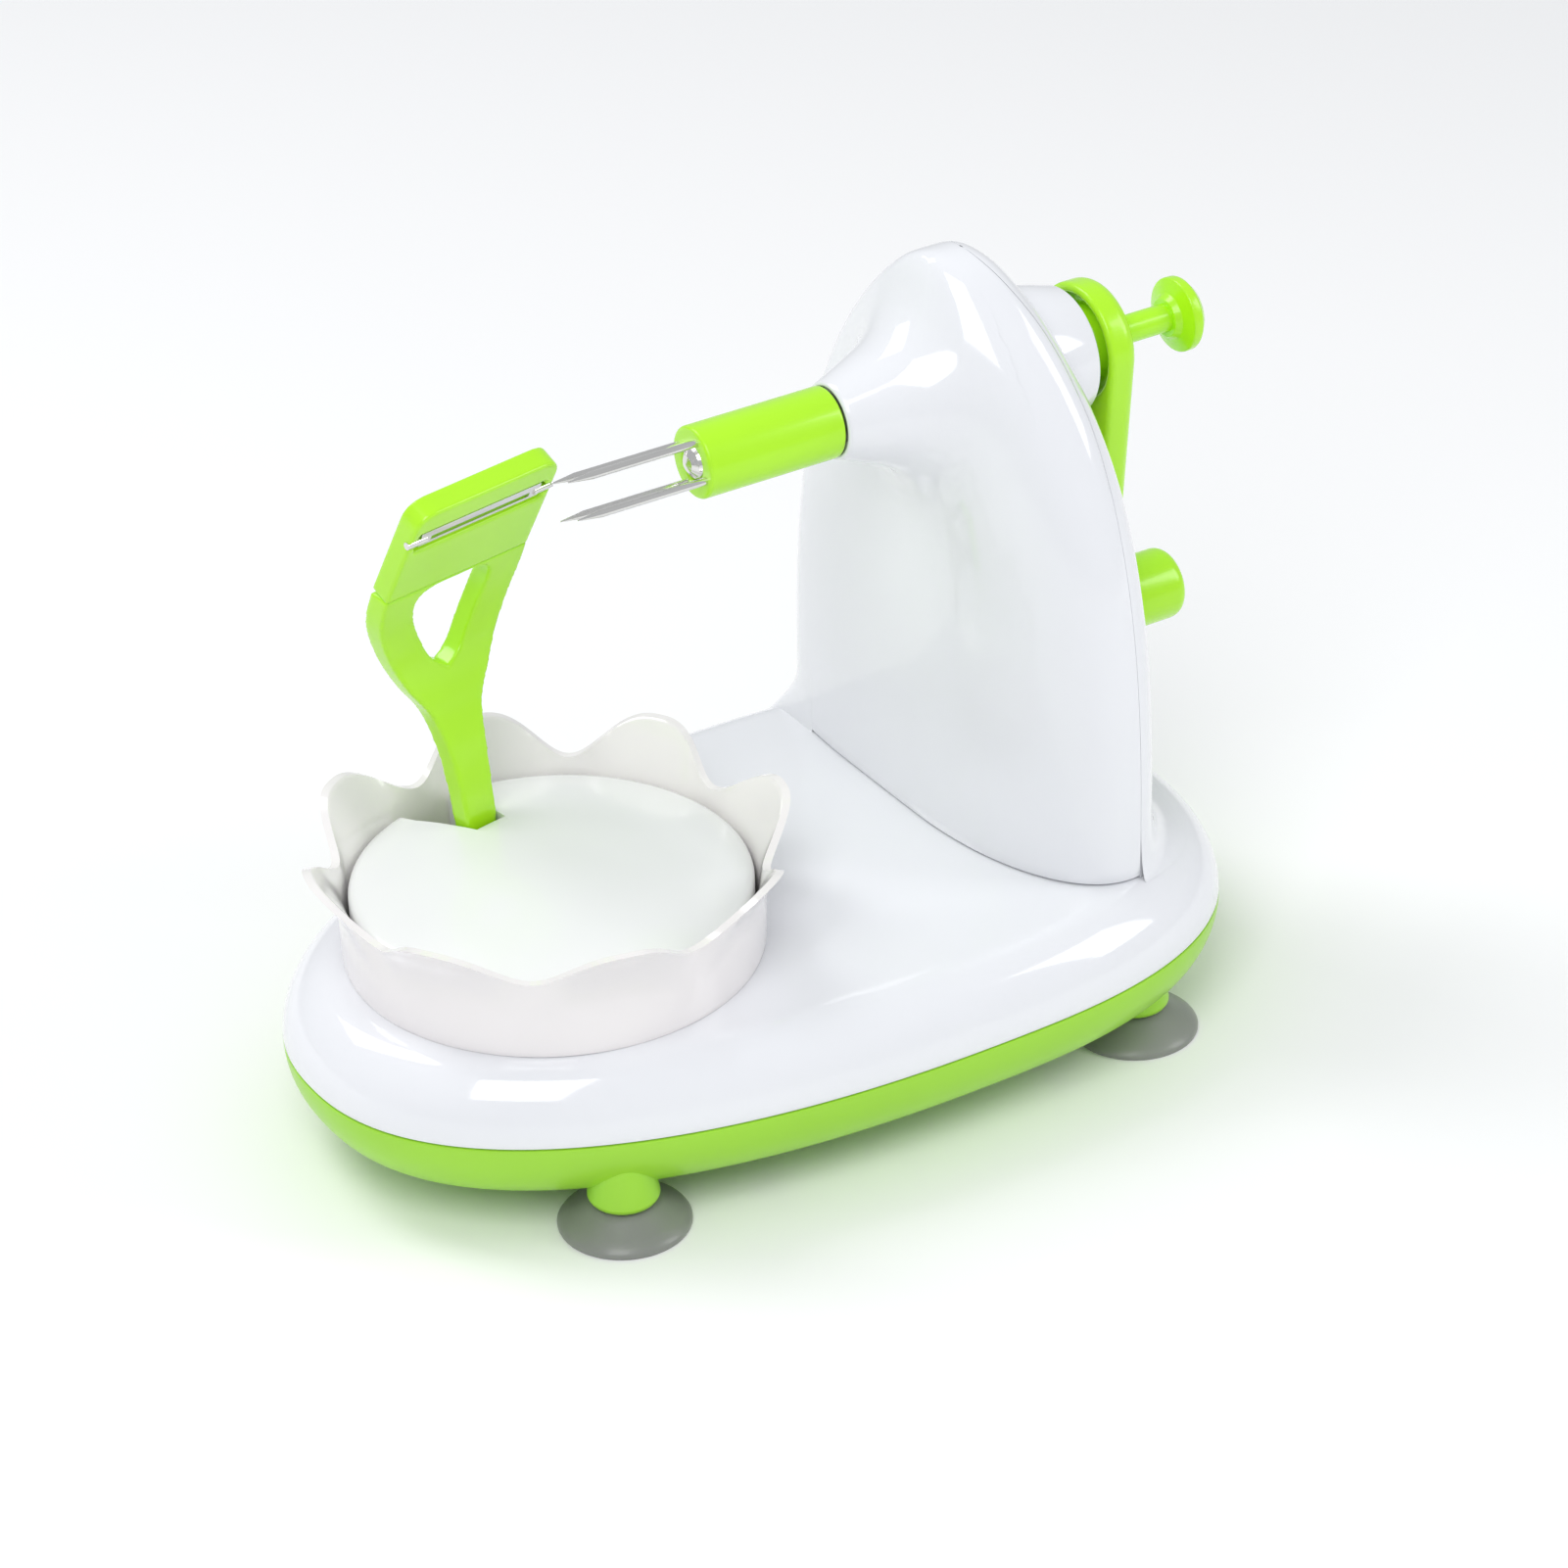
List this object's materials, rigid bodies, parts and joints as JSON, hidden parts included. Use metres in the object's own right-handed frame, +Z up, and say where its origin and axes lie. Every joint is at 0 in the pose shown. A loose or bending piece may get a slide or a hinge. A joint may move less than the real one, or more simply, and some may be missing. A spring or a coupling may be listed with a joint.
{
  "type": "apple peeler corer",
  "caption": "Hand-cranked apple peeler: fork on a hollow shaft, geared turntable with a sprung peeling arm and swivel blade, petal-edged peel bowl, push-rod ejector, suction-cup base.",
  "frame": {"origin": "centre of the footprint on the table", "axes": "+X toward the crank and the ejector button, +Y to the side where the peeling arm rests, +Z up"},
  "size_m": [0.2, 0.12, 0.155],
  "materials": {
    "white_plastic": "glossy white moulded plastic",
    "warm_white_plastic": "warm white moulded plastic, soft gloss",
    "white_table_plastic": "white moulded plastic, satin",
    "lime_plastic": "bright lime green moulded plastic, soft gloss",
    "lime_base_plastic": "lime green moulded plastic, satin",
    "grey_rubber": "soft grey rubber, satin",
    "gear_plastic": "natural acetal",
    "bearing_plastic": "natural acetal",
    "steel": "turned stainless steel",
    "polished_steel": "bright stainless steel",
    "spring_steel": "drawn spring wire",
    "screw_steel": "plated steel"
  },
  "bodies": {
    "base": {"base_top_shell": "white_plastic", "base_bottom_shell": "lime_base_plastic", "suction_cup_front_left": "grey_rubber", "suction_cup_front_right": "grey_rubber", "suction_cup_rear_left": "grey_rubber", "suction_cup_rear_right": "grey_rubber", "tower_front_cover": "white_plastic", "tower_rear_shell": "white_plastic", "base_screws": "screw_steel", "tower_screws": "screw_steel", "cover_screws": "screw_steel", "table_screw": "screw_steel", "table_washer": "screw_steel", "front_bushing": "bearing_plastic", "rear_bushing": "bearing_plastic", "upper_bushing": "bearing_plastic", "lower_bushing": "bearing_plastic", "idler_axle": "steel"},
    "drive": {"main_shaft": "steel", "mitre_gear_main": "gear_plastic", "fork_sleeve": "lime_plastic", "fork_prongs": "polished_steel", "crank_arm": "lime_plastic", "grip_pin": "steel", "ejector_spring": "spring_steel"},
    "grip": {"crank_grip": "lime_plastic"},
    "ejector": {"ejector_rod": "lime_plastic", "ejector_tip": "polished_steel", "ejector_collar": "steel", "ejector_button": "lime_plastic"},
    "lay": {"lay_shaft": "steel", "mitre_gear_lay": "gear_plastic", "lay_pinion": "gear_plastic"},
    "idler": {"idler_gear": "gear_plastic"},
    "turntable": {"turntable_disc": "white_table_plastic", "turntable_carrier": "gear_plastic", "turntable_gear": "gear_plastic", "disc_screws": "screw_steel", "carrier_screws": "screw_steel", "arm_pivot_pin": "steel", "arm_spring": "spring_steel"},
    "arm": {"arm_frame": "lime_plastic", "blade_holder": "lime_plastic"},
    "blade": {"peeler_blade": "polished_steel"},
    "bowl": {"petal_bowl": "warm_white_plastic"}
  },
  "joints": [
    {"name": "crank_spin", "type": "hinge", "parent": "base", "child": "drive", "pos_m": [0.0505, 0, 0.127], "axis": [-1, 0, 0], "range_deg": [-320, 2800]},
    {"name": "grip_spin", "type": "hinge", "parent": "drive", "child": "grip", "pos_m": [0.09, 0, 0.069], "axis": [1, 0, 0], "continuous": true},
    {"name": "ejector_push", "type": "slide", "parent": "drive", "child": "ejector", "axis": [-1, 0, 0], "range_m": [0, 0.012], "stiffness_N_per_m": 400, "springref_m": -0.004, "deforming": ["ejector_spring"]},
    {"name": "lay_spin", "type": "hinge", "parent": "base", "child": "lay", "pos_m": [0.0505, 0, 0.06], "axis": [0, 0, 1], "range_deg": [-320, 2800]},
    {"name": "idler_spin", "type": "hinge", "parent": "base", "child": "idler", "pos_m": [0.0055, 0, 0.02], "axis": [0, 0, 1], "range_deg": [-700, 80]},
    {"name": "turntable_spin", "type": "hinge", "parent": "base", "child": "turntable", "pos_m": [-0.047, 0, 0.03], "axis": [0, 0, 1], "range_deg": [-20, 175]},
    {"name": "arm_tilt", "type": "hinge", "parent": "turntable", "child": "arm", "pos_m": [-0.0511, 0.0211, 0.038], "axis": [-0.9816, -0.1908, 0], "range_deg": [0, 20], "stiffness_Nm_per_rad": 0.06, "springref_deg": -20.05, "deforming": ["arm_spring"]},
    {"name": "blade_swivel", "type": "hinge", "parent": "arm", "child": "blade", "pos_m": [-0.04983, 0.01454, 0.12115], "axis": [-0.9816, -0.1908, 0], "range_deg": [-12, 12]},
    {"name": "bowl_lift", "type": "slide", "parent": "base", "child": "bowl", "axis": [0, 0, 1], "range_m": [0, 0.015]}
  ],
  "couplings": [
    {"joint": "lay_spin", "follows": "crank_spin", "ratio": 1},
    {"joint": "idler_spin", "follows": "crank_spin", "ratio": -0.25},
    {"joint": "turntable_spin", "follows": "crank_spin", "ratio": 0.0625}
  ]
}
